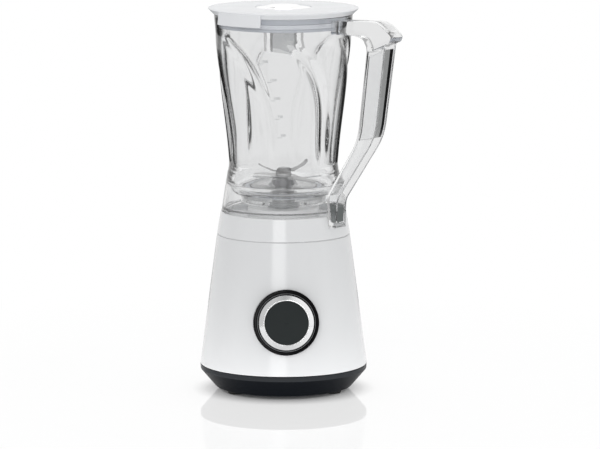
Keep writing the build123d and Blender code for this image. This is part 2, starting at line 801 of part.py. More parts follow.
low_blade = blade(blade_stack, 36.0, -2.5, blade_width)
middle_blade = blade(blade_stack + blade_step, 33.0, 5.5, blade_width)
top_blade = blade(blade_stack + 2 * blade_step, 29.0, 13.5, blade_width)
blade_turn = 24.0
save(Rot(0, 0, blade_turn - 60) * low_blade, "low_blade")
save(Rot(0, 0, blade_turn + 60) * middle_blade, "middle_blade")
save(Rot(0, 0, blade_turn) * top_blade, "top_blade")

washers = []
for index in range(2):
    low = blade_stack + index * blade_step + blade_thickness
    washers.append(ring(8.4, shaft_radius, low, low + blade_step - blade_thickness))
save(Compound(washers), "blade_spacers")
save(ring(7.4, shaft_radius, bush_high + 0.3, blade_stack), "thrust_washer")

nut_seat = blade_stack + 2 * blade_step + blade_thickness
cap_nut = Pos(0, 0, nut_seat) * extrude(RegularPolygon(8.0, 6), amount=6.0)
cap_nut = cap_nut & turned([
    (0, nut_seat),
    (8.2, nut_seat),
    (8.2, nut_seat + 3.4),
    (5.6, nut_seat + 6.0),
    (0, nut_seat + 6.0),
])
cap_nut = cap_nut - rod(shaft_radius, nut_seat - 1, spindle_high)
save(cap_nut, "cap_nut")

cup_coupling_low = dog_low + 2.0
cup_coupling_high = tube_low - 0.5
driven = rod(cup_coupling_radius, cup_coupling_low, cup_coupling_high)
dog_room = extrude(dog_outline(dog_gap), amount=dog_high + 0.5 - dog_low)
driven = driven - Pos(0, 0, dog_low) * dog_room
driven = driven - rod(shaft_radius, spindle_low, cup_coupling_high + 1)
save(driven, "driven_coupling")

# Lid: a disc with a thin rim, a plug that enters the jug and a lifting tab beside the handle
sleeve_radius = cup_radius + 1.1
lid = turned([
    (cap_recess, lid_high),
    (lid_radius - 8.2, lid_high),
    (lid_radius, lid_high - 0.8),
    (jug_high_radius + 0.9, lid_under),
    (lid_skirt_radius, lid_under),
    (lid_skirt_radius, groove_high),
    (lid_skirt_radius - groove_depth, groove_high),
    (lid_skirt_radius - groove_depth, groove_low),
    (lid_skirt_radius, groove_low),
    (lid_skirt_radius, lid_skirt_low),
    (lid_skirt_radius - lid_skirt_wall, lid_skirt_low),
    (lid_skirt_radius - lid_skirt_wall, cap_floor),
    (cap_recess + 3.2, cap_floor),
    (cap_recess + 3.2, cap_floor - 2.6),
    (sleeve_radius + 2.6, cap_floor - 2.6),
    (sleeve_radius + 2.6, cap_floor - 11.6),
    (sleeve_radius, cap_floor - 11.6),
    (sleeve_radius, cap_floor),
    (cap_recess, cap_floor),
], [1, 0, 0.5, 0, 0, 0, 0, 0, 0, 0.8, 0.8, 2, 0, 0, 0, 0.6, 0.6, 0.5, 0.5])
tab = turned([
    (lid_radius - 4.0, lid_high - 4.6),
    (lid_radius - 0.8, lid_high - 1.6),
    (lid_radius + 0.8, tab_low),
    (lid_radius - 1.6, tab_low),
], [0, 0, 1, 1])
tab_reach = lid_radius + 20.0
tab_span = tab_reach * tan(radians(tab_arc / 2))
tab_wedge = make_face(Polyline((0, 0), (tab_reach, -tab_span), (tab_reach, tab_span), close=True))
tab = tab & extrude(tab_wedge, amount=lid_high + 10)
lid = lid + Rot(0, 0, -90) * tab
save(jug_turn * lid, "lid")

lid_seal = turned([
    (lid_skirt_radius - groove_depth, groove_low),
    (seal_radius, groove_low + 0.4),
    (lid_skirt_radius + 0.2, (groove_low + groove_high) / 2),
    (seal_radius, groove_high - 0.4),
    (lid_skirt_radius - groove_depth, groove_high),
])
save(lid_seal, "lid_seal")

cup = turned([
    (0, cup_high),
    (cup_radius - 3.5, cup_high),
    (cup_radius - 2.1, lid_high - 0.5),
    (cap_recess - 0.5, lid_high - 0.5),
    (cap_recess - 0.5, cap_floor + seat_gap),
    (cup_radius, cap_floor + seat_gap),
    (cup_radius - 0.4, cup_low),
    (cup_radius - 0.4 - cup_wall, cup_low),
    (cup_radius - cup_wall, cap_floor),
    (cup_radius - 4.9, cup_high - 2.2),
    (0, cup_high - 2.2),
], [0, 0.8, 1, 0.6, 0.4, 0.5, 0.6, 0.6, 1, 1, 0])
save(cup, "measuring_cup")
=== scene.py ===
import json
import math

import bpy
import numpy as np
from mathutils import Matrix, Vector


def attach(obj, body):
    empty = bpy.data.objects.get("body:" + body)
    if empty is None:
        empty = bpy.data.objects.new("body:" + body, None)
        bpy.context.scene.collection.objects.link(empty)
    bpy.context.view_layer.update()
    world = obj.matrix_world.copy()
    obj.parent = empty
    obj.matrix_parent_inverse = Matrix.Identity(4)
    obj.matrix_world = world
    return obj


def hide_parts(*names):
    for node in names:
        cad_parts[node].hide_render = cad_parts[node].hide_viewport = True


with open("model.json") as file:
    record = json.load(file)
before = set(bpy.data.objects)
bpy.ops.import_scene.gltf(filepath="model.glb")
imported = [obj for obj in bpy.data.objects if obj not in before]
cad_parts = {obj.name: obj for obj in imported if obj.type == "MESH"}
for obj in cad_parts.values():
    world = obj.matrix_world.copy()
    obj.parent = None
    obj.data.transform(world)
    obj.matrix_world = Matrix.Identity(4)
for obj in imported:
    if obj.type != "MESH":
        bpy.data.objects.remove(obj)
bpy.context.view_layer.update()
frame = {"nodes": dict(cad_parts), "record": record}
nodes = frame["nodes"]
scene = bpy.context.scene
scene.view_settings.view_transform = "Standard"
mm = 0.001
print("stage: frame loaded")

# Camera: a long lens a little left of the front, worked out from the circles of the object
lookFrom = {
    "away": 4.39, "height": 0.836, "azimuth": -2.0, "lens": 257.1, "sensor": 36, "farthest": 50,
    "aimHeight": 0.172, "aimRight": 0.0171,
}
cameraTurn = math.radians(lookFrom["azimuth"])
rightward = Vector((math.cos(cameraTurn), math.sin(cameraTurn), 0))
frontward = Vector((math.sin(cameraTurn), -math.cos(cameraTurn), 0))
camera = bpy.data.objects.new("camera", bpy.data.cameras.new("camera"))
scene.collection.objects.link(camera)
scene.camera = camera
camera.data.lens = lookFrom["lens"]
camera.data.sensor_width = lookFrom["sensor"]
camera.data.clip_end = lookFrom["farthest"]
camera.location = frontward * lookFrom["away"] + Vector((0, 0, lookFrom["height"]))
cameraAim = Vector((0, 0, lookFrom["aimHeight"])) + rightward * lookFrom["aimRight"]
camera.rotation_mode = "QUATERNION"
camera.rotation_quaternion = (cameraAim - camera.location).to_track_quat("-Z", "Y")


def feed(tree, socket, value):  # links another node's socket, or sets a plain value
    if isinstance(value, bpy.types.NodeSocket):
        tree.links.new(value, socket)
    else:
        socket.default_value = value


def addNode(tree, kind, operation=None, feeds=(), **named):  # new node, fed by position and by name
    node = tree.nodes.new("ShaderNode" + kind)
    if operation:
        node.operation = operation
    for label, value in [*enumerate(feeds), *named.items()]:
        feed(tree, node.inputs[label], value)
    return node


def overSpan(tree, value, span, ends=(0, 1)):  # goes evenly from one end to the other over a span of a value
    node = addNode(tree, "MapRange", Value=value)
    node.inputs["From Min"].default_value, node.inputs["From Max"].default_value = span
    node.inputs["To Min"].default_value, node.inputs["To Max"].default_value = ends
    return node.outputs[0]


def mixColors(tree, share, under, over):  # blend of two colours
    node = tree.nodes.new("ShaderNodeMix")
    node.data_type = "RGBA"
    for label, value in (("Factor", share), ("A", under), ("B", over)):
        feed(tree, node.inputs[label], value)
    return node.outputs["Result"]


def axisPlace(tree):  # place of a point, its coordinates and its distance from the upright axis
    place = addNode(tree, "TexCoord").outputs["Object"]
    parts = addNode(tree, "SeparateXYZ", feeds=[place]).outputs
    flat = addNode(tree, "CombineXYZ", X=parts["X"], Y=parts["Y"])
    return place, parts, addNode(tree, "VectorMath", "LENGTH", [flat.outputs[0]]).outputs["Value"]


def newGrain(name, fine, broad):  # shader group: the scales of two noises in, a height and a shade out
    group = bpy.data.node_groups.new(name, "ShaderNodeTree")
    for label, value in (("Fine", fine), ("Broad", broad)):
        group.interface.new_socket(label, in_out="INPUT", socket_type="NodeSocketFloat").default_value = value
    for label in ("Height", "Shade"):
        group.interface.new_socket(label, in_out="OUTPUT", socket_type="NodeSocketFloat")
    return group, group.nodes.new("NodeGroupInput"), group.nodes.new("NodeGroupOutput")


def mouldedGrain():  # fine noise for the skin of a moulding, broad noise for its shade and gloss
    group, given, result = newGrain("mouldedGrain", 2000, 30)
    place = addNode(group, "TexCoord").outputs["Object"]
    for label, output, detail in (("Fine", "Height", 3), ("Broad", "Shade", 2)):
        noise = addNode(group, "TexNoise", Vector=place, Scale=given.outputs[label], Detail=detail)
        group.links.new(noise.outputs["Fac"], result.inputs[output])
    return group


def turnedGrain():  # fine noise on distance from the axis and height, so that it runs round as tool marks do
    group, given, result = newGrain("turnedGrain", 3000, 60)
    place, parts, away = axisPlace(group)
    ringSpot = addNode(group, "CombineXYZ", X=away, Z=parts["Z"]).outputs["Vector"]
    for label, output, spot in (("Fine", "Height", ringSpot), ("Broad", "Shade", place)):
        noise = addNode(group, "TexNoise", Vector=spot, Scale=given.outputs[label], Detail=2)
        group.links.new(noise.outputs["Fac"], result.inputs[output])
    return group


grains = {"moulded": mouldedGrain(), "turned": turnedGrain()}

# One entry for each finish. A solid one has its colour, two roughnesses, and its grain: the kind, the scales
# of the fine and the broad noise, and the bump in millimetres. A clear one has its colour, the scale and
# the bump of its ripple, its index of refraction and its roughness
finishes = {
    "white_plastic": {"color": (0.66, 0.667, 0.675), "rough": (0.15, 0.17),
                      "grain": ("moulded", 2600, 12, 0.003), "drift": 0.005},
    "white_gloss": {"color": (0.68, 0.687, 0.695), "rough": (0.09, 0.11),
                    "grain": ("moulded", 2600, 12, 0.002), "drift": 0.005},
    "dark_plastic": {"color": (0.003, 0.004, 0.006), "rough": (0.3, 0.4),
                     "grain": ("moulded", 2400, 40, 0.02), "Specular IOR Level": 0.07},
    "black_gloss": {"color": (0.0015, 0.0015, 0.002), "rough": (0.05, 0.08),
                    "grain": ("moulded", 1500, 40, 0.001), "Specular IOR Level": 0.12},
    "knob_grey": {"color": (0.011, 0.015, 0.0155), "rough": (0.55, 0.65),
                  "grain": ("moulded", 3000, 60, 0.01), "Specular IOR Level": 0.25},
    "silver": {"color": (0.93, 0.935, 0.94), "rough": (0.14, 0.2),
               "grain": ("turned", 4000, 60, 0.001), "Metallic": 1.0},
    "rubber": {"color": (0.012, 0.012, 0.012), "rough": (0.7, 0.8), "grain": ("moulded", 1600, 80, 0.03)},
    "steel": {"color": (0.5, 0.5, 0.5), "rough": (0.18, 0.26),
              "grain": ("turned", 3500, 80, 0.002), "Metallic": 1.0},
    "lamination": {"color": (0.2, 0.2, 0.21), "rough": (0.4, 0.5),
                   "grain": ("turned", 1200, 60, 0.02), "Metallic": 1.0},
    "copper": {"color": (0.55, 0.2, 0.07), "rough": (0.25, 0.35),
               "grain": ("turned", 1500, 60, 0.02), "Metallic": 1.0},
    "bronze": {"color": (0.42, 0.27, 0.1), "rough": (0.3, 0.4),
               "grain": ("turned", 3500, 80, 0.002), "Metallic": 1.0},
    "sinter": {"color": (0.45, 0.45, 0.46), "rough": (0.35, 0.45),
               "grain": ("moulded", 3500, 80, 0.004), "Metallic": 1.0},
    "grey_plastic": {"color": (0.32, 0.33, 0.34), "rough": (0.4, 0.5), "grain": ("moulded", 2000, 40, 0.01)},
    "carbon": {"color": (0.02, 0.02, 0.022), "rough": (0.6, 0.75), "grain": ("moulded", 3000, 90, 0.02)},
    "board_green": {"color": (0.02, 0.13, 0.05), "rough": (0.4, 0.55), "grain": ("moulded", 2500, 90, 0.01)},
    "socket_plastic": {"color": (0.8, 0.805, 0.81), "rough": (0.3, 0.38),
                       "grain": ("moulded", 2200, 30, 0.008)},
    "pale_silicone": {"color": (0.66, 0.68, 0.72), "rough": (0.35, 0.45),
                      "grain": ("moulded", 1800, 50, 0.01)},
    "smoke_plastic": {"color": (0.13, 0.14, 0.14), "rough": (0.15, 0.22),
                      "grain": ("moulded", 2000, 40, 0.004)},
    "grip_plastic": {"color": (0.8, 0.805, 0.81), "rough": (0.2, 0.28),
                     "grain": ("moulded", 2000, 40, 0.005)},
    "print_grey": {"color": (0.3, 0.31, 0.32), "rough": (0.45, 0.55),
                   "grain": ("moulded", 3000, 60, 0.004)},
    "frosted_plastic": {"color": (0.88, 0.893, 0.915), "rough": (0.2, 0.3),
                        "grain": ("moulded", 1800, 30, 0.006), "Transmission Weight": 0.2},
    "clear_plastic": {"clear": (0.985, 0.988, 0.99), "ripple": (26, 0.012), "IOR": 1.5, "haze": 0.03},
    "cup_plastic": {"clear": (0.74, 0.745, 0.75), "ripple": (26, 0.012), "IOR": 1.5, "haze": 0.02},
    "pale_plastic": {"clear": (0.985, 0.988, 0.99), "ripple": (40, 0.01), "IOR": 1.45, "haze": 0.2},
}
usualDrift = 0.03
paintedEdgeAndPassing = {  # painted shade: clear plastic is painted dark where it is seen on edge, in place of the dark it reflects and refracts there, but not on level faces or on the thin skirt
    "facing": (0.52, 0.68), "slope": (0.8, 0.4), "height": (0.214, 0.236), "color": (0.001, 0.001, 0.001),
    "shadow": 0.96,  # share of the light that it lets through to what lies behind it
}


def newMaterial(name):  # material with its node tree and shader
    material = bpy.data.materials.new(name)
    material.use_nodes = True
    return material, material.node_tree, material.node_tree.nodes["Principled BSDF"]


def solidFinish(name, look):  # shade and gloss drift on the broad noise, and the fine noise is a bump
    material, tree, shader = newMaterial(name)
    kind, fine, broad, depth = look["grain"]
    grain = addNode(tree, "Group")
    grain.node_tree = grains[kind]
    grain.inputs["Fine"].default_value, grain.inputs["Broad"].default_value = fine, broad
    drift = look.get("drift", usualDrift)
    darker, lighter = ((*(scale * part for part in look["color"]), 1) for scale in (1 - drift, 1 + drift))
    bump = addNode(tree, "Bump", Distance=depth * mm, Height=grain.outputs["Height"])
    feed(tree, shader.inputs["Base Color"], mixColors(tree, grain.outputs["Shade"], darker, lighter))
    feed(tree, shader.inputs["Roughness"], overSpan(tree, grain.outputs["Shade"], (0, 1), look["rough"]))
    feed(tree, shader.inputs["Normal"], bump.outputs["Normal"])
    for label in ("Metallic", "Specular IOR Level", "Transmission Weight"):
        if label in look:
            shader.inputs[label].default_value = look[label]
    return material


def overlay(tree, value, span, color):  # a second colour that comes in over a span of a value
    base = tree.nodes["Principled BSDF"].inputs["Base Color"]
    under = base.links[0].from_socket
    feed(tree, base, mixColors(tree, overSpan(tree, value, span), under, (*color, 1)))


def clearFinish(name, look):  # faint ripple, painted shade where it is seen on edge, open to light that passes through
    material, tree, shader = newMaterial(name)
    facing = addNode(tree, "LayerWeight", Blend=0.5).outputs["Facing"]
    normal = addNode(tree, "SeparateXYZ", feeds=[addNode(tree, "NewGeometry").outputs["Normal"]])
    slope = addNode(tree, "Math", "ABSOLUTE", [normal.outputs["Z"]]).outputs[0]
    place = addNode(tree, "SeparateXYZ", feeds=[addNode(tree, "TexCoord").outputs["Object"]])
    rim = overSpan(tree, facing, paintedEdgeAndPassing["facing"])
    for label, value in (("slope", slope), ("height", place.outputs["Z"])):
        limit = overSpan(tree, value, paintedEdgeAndPassing[label])
        rim = addNode(tree, "Math", "MULTIPLY", [rim, limit]).outputs[0]
    grain = addNode(tree, "Group")
    grain.node_tree = grains["moulded"]
    grain.inputs["Fine"].default_value, depth = look["ripple"]
    bump = addNode(tree, "Bump", Distance=depth * mm, Height=grain.outputs["Height"])
    # painted shade: the base colour turns near black where the plastic is seen on edge
    paintedEdgeTint = mixColors(tree, rim, (*look["clear"], 1), (*paintedEdgeAndPassing["color"], 1))
    for label, value in (("Base Color", paintedEdgeTint), ("Normal", bump.outputs["Normal"]),
                         ("Roughness", look["haze"]), ("IOR", look["IOR"]), ("Transmission Weight", 1)):
        feed(tree, shader.inputs[label], value)
    path = addNode(tree, "LightPath").outputs
    passing = addNode(tree, "Math", "MAXIMUM", [path["Is Shadow Ray"], path["Is Diffuse Ray"]])
    opened = addNode(tree, "BsdfTransparent", Color=(*[paintedEdgeAndPassing["shadow"]] * 3, 1))
    mix = addNode(tree, "MixShader", feeds=[passing.outputs[0], shader.outputs[0], opened.outputs[0]])
    tree.links.new(mix.outputs[0], tree.nodes["Material Output"].inputs["Surface"])
    return material


materials = {
    name: (clearFinish if "clear" in look else solidFinish)(name, look) for name, look in finishes.items()
}

# Painted light bands: a second colour, painted sheen on the plate and painted shade on the lid, over a span
# of heights, within a distance from the axis, in metres
paintedLightBands = {
    "plate_painted_sheen": {"plain": "dark_plastic", "heights": (0.0217, 0.0224), "within": 1.0,
                      "color": (0.024, 0.026, 0.029)},  # painted sheen: paler edge at the top of the bottom plate, where it catches the light
    "lid_painted_shade": {"plain": "frosted_plastic", "heights": (0.3925, 0.3915), "within": 0.0705,
                    "color": (0.6, 0.625, 0.675)},  # painted shade: the thin plug of the lid is painted darker than its rim, as it looks where it is seen through the rim of the jug
}
for name, paintedBand in paintedLightBands.items():
    materials[name] = solidFinish(name, finishes[paintedBand["plain"]])
    tree = materials[name].node_tree
    place, parts, away = axisPlace(tree)
    beyond = addNode(tree, "Math", "GREATER_THAN", [away, paintedBand["within"]]).outputs[0]
    mark = addNode(tree, "Math", "ADD", [parts["Z"], beyond])  # lifted out of the span beyond the distance
    # paints the sheen or the shade of the band over the plain finish
    overlay(tree, mark.outputs[0], paintedBand["heights"], paintedBand["color"])

# Knob: a painted highlight, a thin grey line at a distance from its axis, where the rounded rim of the knob
# catches the light
knobPaintedHighlight = {
    "centre": (0, -0.0793, 0.0826), "axis": (0, -0.9916, 0.1295), "span": (0.02935, 0.0295),
    "color": (0.16, 0.165, 0.17),
}
materials["knob_black_painted_highlight"] = solidFinish("knob_black_painted_highlight", finishes["black_gloss"])
tree = materials["knob_black_painted_highlight"].node_tree
place = addNode(tree, "TexCoord").outputs["Object"]
offset = addNode(tree, "VectorMath", "SUBTRACT", [place, knobPaintedHighlight["centre"]])
sideways = addNode(tree, "VectorMath", "CROSS_PRODUCT", [offset.outputs[0], knobPaintedHighlight["axis"]])
away = addNode(tree, "VectorMath", "LENGTH", [sideways.outputs[0]])
# painted highlight: grey over the black near the rim of the knob
overlay(tree, away.outputs["Value"], knobPaintedHighlight["span"], knobPaintedHighlight["color"])

otherFinish = {  # nodes that look other than their slot is called
    "top_collar": "white_gloss", "measuring_cup": "cup_plastic", "jug_seal": "pale_silicone",
    "lid_seal": "pale_silicone", "spindle_bush": "sinter", "drive_socket": "socket_plastic",
    "bottom_plate": "plate_painted_sheen", "lid": "lid_painted_shade", "knob_body": "knob_black_painted_highlight",
}
for entry in frame["record"]["subparts"]:
    item = nodes[entry["node"]]
    item.data.materials.clear()
    item.data.materials.append(materials[otherFinish.get(entry["node"], entry["material_slot"])])
print("stage: materials")


mostOfLeg = 0.49  # so that the bends at the two ends of a leg never meet


def bentPath(corners, gap, steps=6, closed=True, bendColumn=2, measured=slice(0, 2)):
    # each corner bends on a parabola of its setback, then points are set a gap apart on the measured columns
    corners = np.array(corners, float)
    setback, points = corners[:, [bendColumn]], np.delete(corners, bendColumn, 1)
    back, ahead = np.roll(points, 1, 0) - points, np.roll(points, -1, 0) - points
    back, ahead = (
        leg * np.minimum(setback / np.linalg.norm(leg[:, measured], axis=1, keepdims=True), mostOfLeg)
        for leg in (back, ahead)
    )
    share = np.linspace(0, 1, steps)[None, :, None]
    bends = points[:, None] + (1 - share) ** 2 * back[:, None] + share ** 2 * ahead[:, None]
    line = bends.reshape(-1, points.shape[1])
    line = np.vstack([line, line[:1]]) if closed else line
    along = np.concatenate([[0], np.cumsum(np.linalg.norm(np.diff(line[:, measured], axis=0), axis=1))])
    along, kept = np.unique(along, return_index=True)
    marks = np.union1d(along, np.arange(0, along[-1], gap))
    marks = marks[:-1] if closed else marks
    return np.stack([np.interp(marks, along, column) for column in line[kept].T], 1)


def gridFaces(rows, cols, closeRows):  # quads between neighbouring points, columns always closed
    index = np.arange(rows * cols).reshape(rows, cols)
    index = np.hstack([index, index[:, :1]])
    index = np.vstack([index, index[:1]]) if closeRows else index
    return np.stack([index[:-1, :-1], index[:-1, 1:], index[1:, 1:], index[1:, :-1]], -1).reshape(-1, 4)


def outward(points, quads):  # turns the quads round where the volume they enclose comes out negative
    a, b, c, d = (points[quads[:, k]] for k in range(4))
    volume = np.einsum("ij,ij->", a, np.cross(b, c)) + np.einsum("ij,ij->", a, np.cross(c, d))
    return quads if volume > 0 else quads[:, ::-1]


def sweptFaces(grid, first=0):  # quads of a section carried along a path, and a face at each end
    rows, cols = grid.shape[:2]
    quads = outward(grid.reshape(-1, 3), gridFaces(rows, cols, False)) + first
    last = first + (rows - 1) * cols
    return quads.tolist() + [list(range(first, first + cols)), list(range(last, last + cols))]


def newPiece(name, points, faces, material):  # mesh object at the origin with smooth faces
    mesh = bpy.data.meshes.new(name)
    mesh.from_pydata(points.reshape(-1, 3).tolist(), [], faces)
    mesh.polygons.foreach_set("use_smooth", np.ones(len(mesh.polygons), bool))
    mesh.materials.append(material)
    mesh.update()
    piece = bpy.data.objects.new(name, mesh)
    scene.collection.objects.link(piece)
    return piece


# Jug: one closed profile (floor, bowl, skirt, wall, rim, inside) carried round the axis, with swirling ribs
jugShape = {
    "lowRadius": 56.2, "highRadius": 69.9, "rimRadius": 71.7, "swellLow": 222.0, "lobeHigh": 371.0,
    "rimHigh": 392.0, "wall": 3.0, "wallLow": 246.0, "levels": 18, "gap": 3.5, "perRib": 44, "bunch": 0.5,
    "bottom": [  # radius, height, setback: floor with a ring, bowl, skirt inside, spigot, skirt outside
        (36.0, 205.5, 0.3), (41.4, 205.5, 0.5), (41.4, 195.6, 0.5), (44.0, 195.6, 0.5), (44.0, 205.5, 0.5),
        (52.0, 205.5, 5.0), (57.6, 217.5, 1.5), (61.1, 191.5, 1.0), (57.8, 190.0, 1.0), (57.8, 181.6, 0.5),
        (60.6, 181.6, 0.5), (60.6, 187.3, 0.4), (64.2, 187.3, 0.7), (57.2, 232.0, 3.0),
    ],
    "waist": (56.4, 238.0, 3.0), "waistRib": 0.46, "rimBend": 1.2, "lipBend": 1.0,
    "inside": [(53.2, 232.5, 3.0), (53.2, 208.5, 13.0), (36.0, 208.5, 0.3)],  # bowl and floor
    "ribs": 6, "ribFirst": -105.6, "ribSweep": 44.4, "swirlLow": 244.0, "ribFade": 26.0, "ribPast": 4.0,
    "ribOut": 4.6, "ribOutWidth": 4.8, "ribIn": 5.4, "ribInWidth": 6.6, "plainWidth": 5.0, "lobe": 1.2,
    "ribLow": 226.0, "ribRise": 50.0,
    "spoutTurn": 140.0, "spoutReach": 5.3, "spoutWidth": 11.0, "spoutLow": 373.0,
}


def smoothStep(value):  # 0 to 1 with level ends
    value = np.clip(value, 0, 1)
    return value * value * (3 - 2 * value)


def wallRadius(height):  # radius outside at the middle of a lobe: an S-curve, then a cone to the rim
    jug = jugShape
    swell = smoothStep((height - jug["swellLow"]) / (jug["lobeHigh"] - jug["swellLow"]))
    cone = np.maximum(height - jug["lobeHigh"], 0) / (jug["rimHigh"] - jug["lobeHigh"])
    lobeRise, rimRise = jug["highRadius"] - jug["lowRadius"], jug["rimRadius"] - jug["highRadius"]
    return jug["lowRadius"] + lobeRise * swell + rimRise * cone


def swirl(height):  # degrees that a rib has swung back: its sweep times the cube of the share of the height
    jug = jugShape
    share = np.maximum(height - jug["swirlLow"], 0) / (jug["lobeHigh"] - jug["swirlLow"])
    return jug["ribSweep"] * share ** 3


def ribbed(radius, height, turned, depth, width):  # bell-shaped ribs on a swirling line, and the spout
    jug = jugShape
    pitch = 360 / jug["ribs"]
    fromRib = (turned + pitch / 2) % pitch - pitch / 2
    lobe = jug["lobe"] * (depth > 0) * np.cos(np.radians(fromRib * jug["ribs"] / 2)) ** 2
    press = depth * np.exp(-(fromRib / width) ** 2) + lobe
    fade = smoothStep((jug["lobeHigh"] + jug["ribPast"] - height) / jug["ribFade"])
    angle = turned + jug["ribFirst"] - swirl(height)
    fromSpout = (angle - jug["spoutTurn"] + 180) % 360 - 180
    spout = jug["spoutReach"] * np.exp(-(fromSpout / jug["spoutWidth"]) ** 2)
    spout = spout * smoothStep((height - jug["spoutLow"]) / (jug["rimHigh"] - jug["spoutLow"])) ** 2
    return radius - press * fade + spout, np.radians(angle)


def jugProfile():  # radius, height, rib depth and rib width round the whole section
    jug = jugShape
    heights = np.linspace(jug["wallLow"], jug["lobeHigh"], jug["levels"])
    grown = smoothStep((heights - jug["ribLow"]) / jug["ribRise"])  # ribs fade in above the bowl
    flat = np.zeros_like(heights)
    outer = [wallRadius(heights), heights, flat, jug["ribOut"] * grown, flat + jug["ribOutWidth"]]
    inner = [wallRadius(heights) - jug["wall"], heights, flat, jug["ribIn"] * grown, flat + jug["ribInWidth"]]
    lip = (jug["rimRadius"] - jug["wall"], jug["rimHigh"], jug["lipBend"])
    rim = [(jug["rimRadius"], jug["rimHigh"], jug["rimBend"]), lip]
    waist = [(*jug["waist"], jug["waistRib"], jug["plainWidth"])]
    bottom, rim, inside = (
        [(*corner, 0, jug["plainWidth"]) for corner in part] for part in (jug["bottom"], rim, jug["inside"])
    )
    corners = np.vstack([bottom, waist, np.stack(outer, 1), rim, np.stack(inner, 1)[::-1], inside])
    return bentPath(corners, jug["gap"])


profile = jugProfile()
perRib, bunch = jugShape["perRib"], jugShape["bunch"]
ribShare = (np.arange(perRib) + 0.5) / perRib - 0.5  # columns lie closer together at the ribs
ribShare = ribShare * (1 - bunch) + 4 * bunch * ribShare ** 3
columnTurn = ((np.arange(jugShape["ribs"])[:, None] + ribShare) * 360 / jugShape["ribs"]).reshape(1, -1)
plainRadius, wallHeight, ribDepth, ribWidth = (profile[:, k:k + 1] for k in range(4))
radius, angle = ribbed(plainRadius, wallHeight, columnTurn, ribDepth, ribWidth)
flatPlace = [radius * np.cos(angle), radius * np.sin(angle)]
vessel = np.stack([*flatPlace, np.broadcast_to(wallHeight, radius.shape)], -1) * mm
vesselFaces = outward(vessel.reshape(-1, 3), gridFaces(*vessel.shape[:2], True))

# Handle: a channel section carried along the arm, the grip and the run down to the foot
handleShape = {
    "turn": -40.0, "side": 2.6, "web": 2.2, "edge": 2.2, "lip": 0.8, "lipShare": 0.45, "outerLip": 0.9,
    "leastCut": 0.2, "gap": 2.5, "bendSteps": 8, "cornerSteps": 5,
    "stations": [  # inner point, outer point, setback, half width, 1 where the channel is open
        (69.4, 375, 69.4, 389, 0, 10.4, 0), (98, 375.4, 104, 390.4, 6, 10.4, 0),
        (109, 373, 128, 391.2, 9, 10.4, 0), (113.6, 364.5, 145.8, 377.4, 3, 10.3, 0),
        (113.9, 361.5, 143.4, 371.4, 1.5, 10.3, 0), (113.9, 358.9, 137.4, 369.2, 0.8, 10.2, 1),
        (101.5, 268.5, 124.3, 273.7, 16, 8.7, 1), (62.0, 208, 75.6, 204.2, 6, 8.6, 1),
        (64.2, 187, 74.8, 185, 2, 8.6, 1), (64.2, 181, 74.7, 181, 1.0, 8.6, 1),
        (64.2, 180, 74.7, 180, 0.5, 8.6, 0), (64.2, 176, 74.6, 176, 0, 8.6, 0),
    ],
}


def bentCorner(out, side, bend, back, ahead):  # parabola round one corner of a section, for all stations
    share = np.linspace(0, 1, handleShape["cornerSteps"])[None]
    return [
        start[:, None] + np.reshape(bend, (-1, 1)) * (share ** 2 * ahead[k] - (1 - share) ** 2 * back[k])
        for k, start in enumerate((out, side))
    ]


def channelSection(deep, half, cut):  # eight rounded corners of an open channel
    edge, outerLip = handleShape["edge"], handleShape["outerLip"]
    lip = np.minimum(handleShape["lip"], handleShape["lipShare"] * cut)
    inside = half - handleShape["side"]
    zero = np.zeros_like(deep)
    corners = [
        (zero, -half, edge, (0, 1)), (zero, half, edge, (1, 0)), (deep, half, outerLip, (0, -1)),
        (deep, inside, lip, (-1, 0)), (deep - cut, inside, lip, (0, -1)), (deep - cut, -inside, lip, (1, 0)),
        (deep, -inside, lip, (0, -1)), (deep, -half, outerLip, (-1, 0)),
    ]
    bends = [bentCorner(*corner[:3], corners[k - 1][3], corner[3]) for k, corner in enumerate(corners)]
    return (np.hstack(column) for column in zip(*bends))


stations = bentPath(handleShape["stations"], handleShape["gap"], handleShape["bendSteps"], closed=False,
                    bendColumn=4, measured=slice(2, 4))
innerPoint, outerPoint, half, opened = stations[:, 0:2], stations[:, 2:4], stations[:, 4], stations[:, 5]
deep = np.linalg.norm(outerPoint - innerPoint, axis=1)
handleLine = (outerPoint - innerPoint) / deep[:, None]
swing = math.radians(handleShape["turn"])


def onHandle(out, side, chosen):  # section points set on the chosen stations and swung to the handle
    reach, level = (innerPoint[chosen][:, None, k] + out * handleLine[chosen][:, None, k] for k in range(2))
    x = reach * math.cos(swing) - side * math.sin(swing)
    y = reach * math.sin(swing) + side * math.cos(swing)
    return np.stack([x, y, level], -1) * mm


leastCut = handleShape["leastCut"]
out, side = channelSection(deep, half, leastCut + opened * (deep - handleShape["web"] - leastCut))
handle = onHandle(out, side, slice(None))
jugPoints = np.vstack([vessel.reshape(-1, 3), handle.reshape(-1, 3)])
jugFaces = vesselFaces.tolist() + sweptFaces(handle, vessel.shape[0] * vessel.shape[1])
clearJug = newPiece("clear_jug", jugPoints, jugFaces, materials["clear_plastic"])
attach(clearJug, "jug")
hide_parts("jug")
print("stage: jug", len(clearJug.data.polygons), "faces")


barPoints = {"edge": (0.6, 1.2, 1.8), "face": 12}  # distances from an inner edge, points on the outer face


